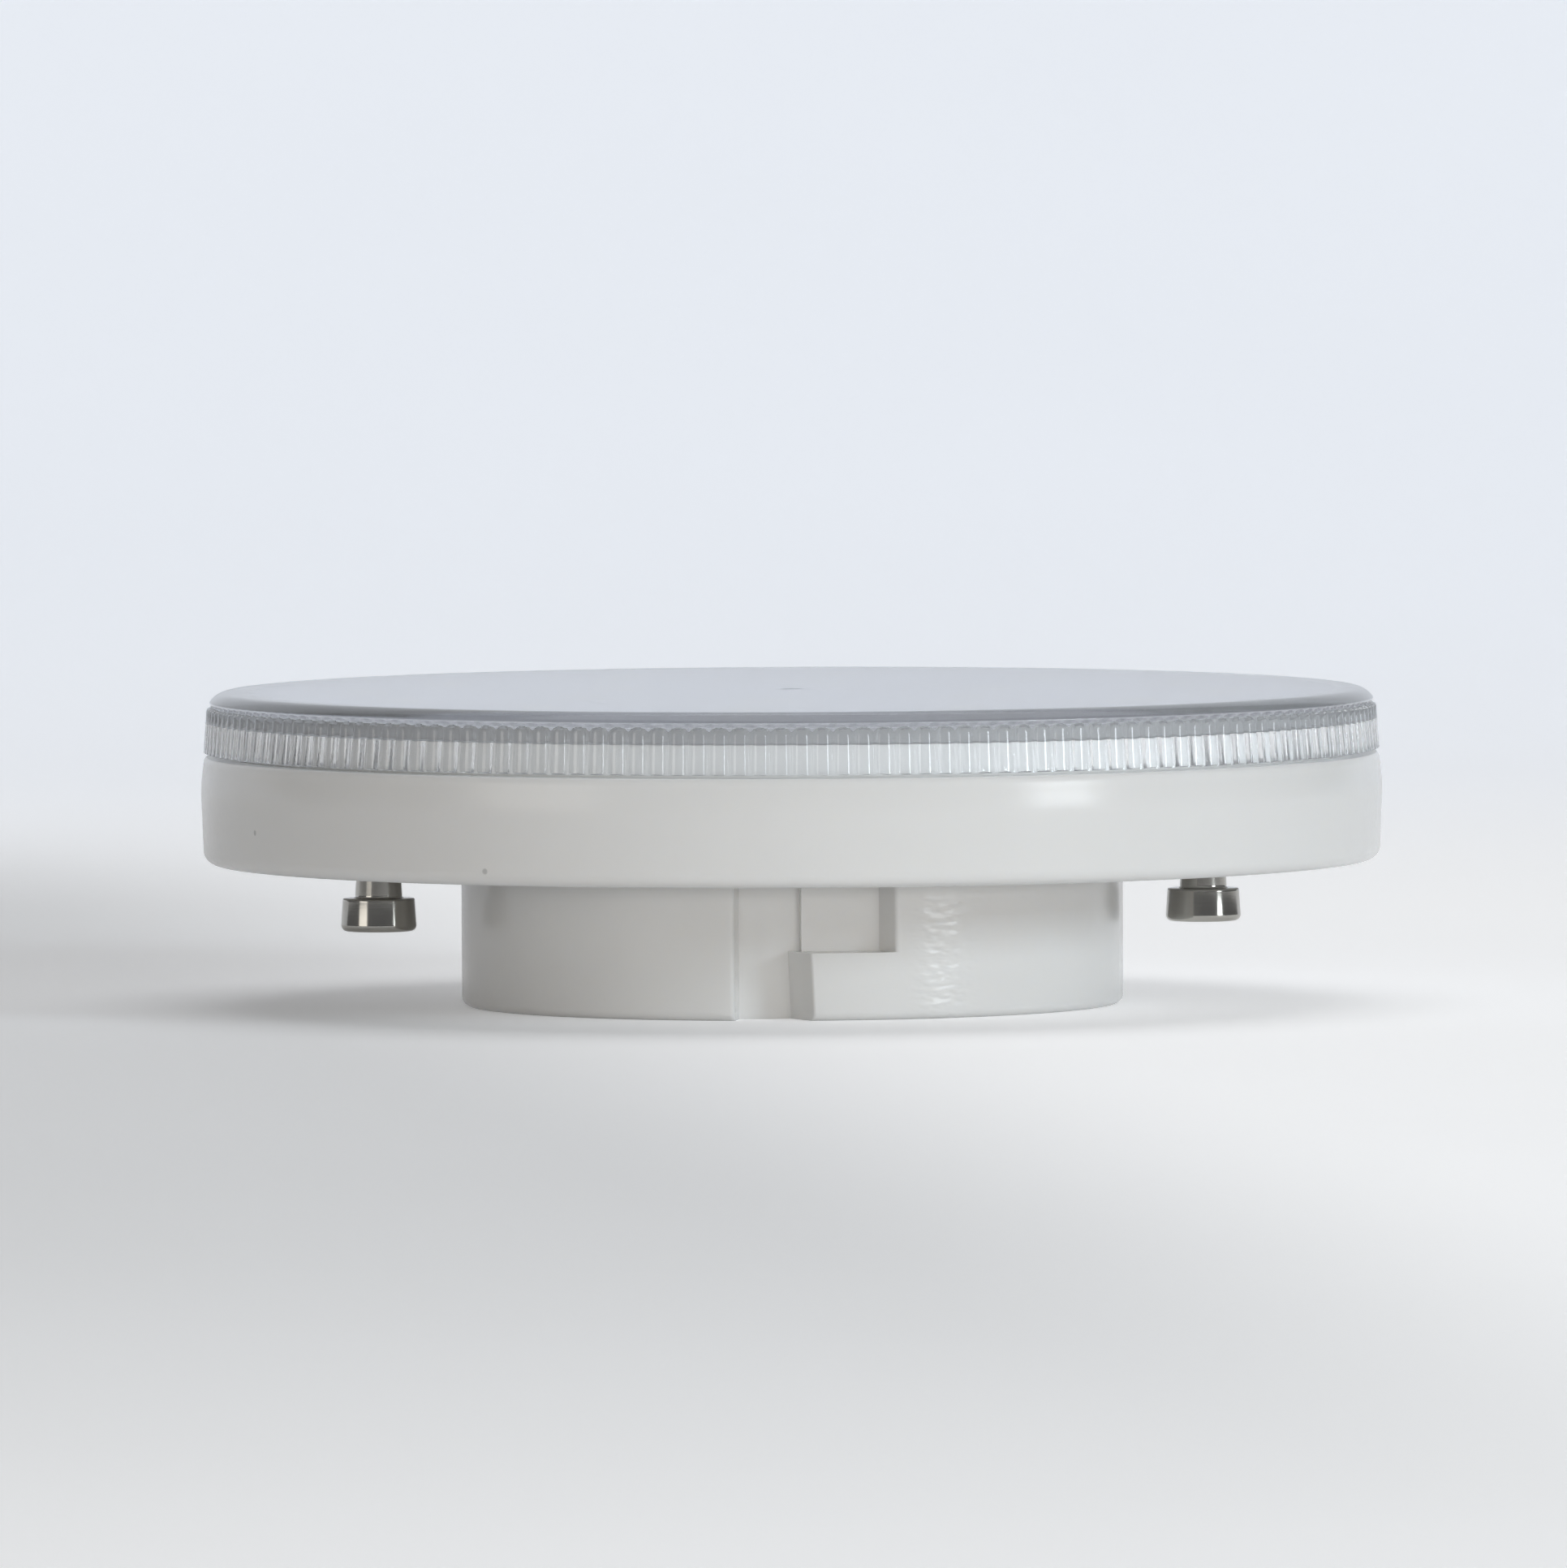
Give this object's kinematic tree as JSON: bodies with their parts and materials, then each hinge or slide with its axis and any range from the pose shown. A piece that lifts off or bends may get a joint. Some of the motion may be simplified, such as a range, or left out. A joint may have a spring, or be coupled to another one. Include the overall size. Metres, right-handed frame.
{
  "type": "led disc lamp",
  "caption": "Flat round LED lamp with a ribbed clear cover over a white body, a keyed round boss and headed contact pins that plug up into a twist-lock holder.",
  "frame": {"origin": "centre of the boss's end face, on the lamp's axis", "axes": "+Z runs from the boss to the clear cover; the contact pins lie on the X axis; the keyways of the boss face -Y and +Y"},
  "size_m": [0.075, 0.075, 0.02],
  "materials": {
    "clear_cover": "clear, frosted on its flat face",
    "white_housing": "semi-gloss",
    "nickel_pin": "polished",
    "bare_aluminium": "satin",
    "white_board": "matte",
    "led_package": "gloss",
    "amber_film": "gloss",
    "green_board": "satin",
    "ferrite": "matte",
    "copper_winding": "gloss",
    "black_sleeve": "gloss",
    "red_capacitor": "gloss",
    "black_moulding": "matte",
    "tinned_pin": "satin",
    "white_ceramic": "matte",
    "wire_insulation": "satin"
  },
  "bodies": {
    "root": {"diffuser_cover": "clear_cover", "housing": "white_housing", "contact_pin_left": "nickel_pin", "contact_pin_right": "nickel_pin", "heat_dish": "bare_aluminium", "led_board": "white_board", "insulation_film": "amber_film", "driver_board": "green_board", "choke_core": "ferrite", "choke_winding": "copper_winding", "smoothing_capacitor": "black_sleeve", "film_capacitor": "red_capacitor", "header_block": "black_moulding", "header_pin_plus": "tinned_pin", "header_pin_minus": "tinned_pin", "bridge_rectifier": "black_moulding", "driver_chip": "black_moulding", "flyback_diode": "black_moulding", "fuse": "white_ceramic", "mains_wire_left": "wire_insulation", "mains_wire_right": "wire_insulation", "sense_resistor_1": "white_ceramic", "sense_resistor_2": "white_ceramic", "led_01": "led_package", "led_02": "led_package", "led_03": "led_package", "led_04": "led_package", "led_05": "led_package", "led_06": "led_package", "led_07": "led_package", "led_08": "led_package", "led_09": "led_package", "led_10": "led_package", "led_11": "led_package", "led_12": "led_package", "led_13": "led_package", "led_14": "led_package", "led_15": "led_package", "led_16": "led_package", "led_17": "led_package", "led_18": "led_package"}
  },
  "joints": []
}
